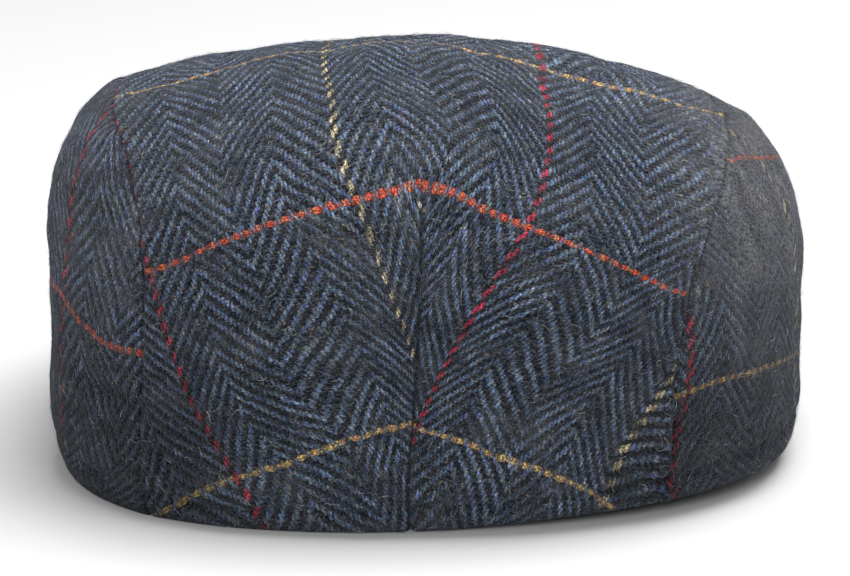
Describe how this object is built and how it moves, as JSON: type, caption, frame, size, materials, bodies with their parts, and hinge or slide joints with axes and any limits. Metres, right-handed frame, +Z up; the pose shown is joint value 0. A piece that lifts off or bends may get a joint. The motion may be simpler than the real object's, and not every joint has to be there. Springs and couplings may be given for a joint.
{
  "type": "flat cap",
  "caption": "Tweed flat cap with a full crown, side panels, a centre back dart and a short curved peak at the front; herringbone cloth with a windowpane check.",
  "frame": {"origin": "middle of the cap's bounding box, on the surface that the hem rests on", "axes": "+Z up out of the crown, +Y towards the back of the cap, -Y towards the peak, +X towards the wearer's left"},
  "size_m": [0.2081, 0.2378, 0.1152],
  "materials": {
    "cloth_top": "matt herringbone tweed",
    "cloth_left": "matt herringbone tweed",
    "cloth_right": "matt herringbone tweed",
    "cloth_peak": "matt herringbone tweed over a stiff board"
  },
  "bodies": {
    "root": {"crown_top": "cloth_top", "side_panel_left": "cloth_left", "side_panel_right": "cloth_right", "peak": "cloth_peak"}
  },
  "joints": []
}
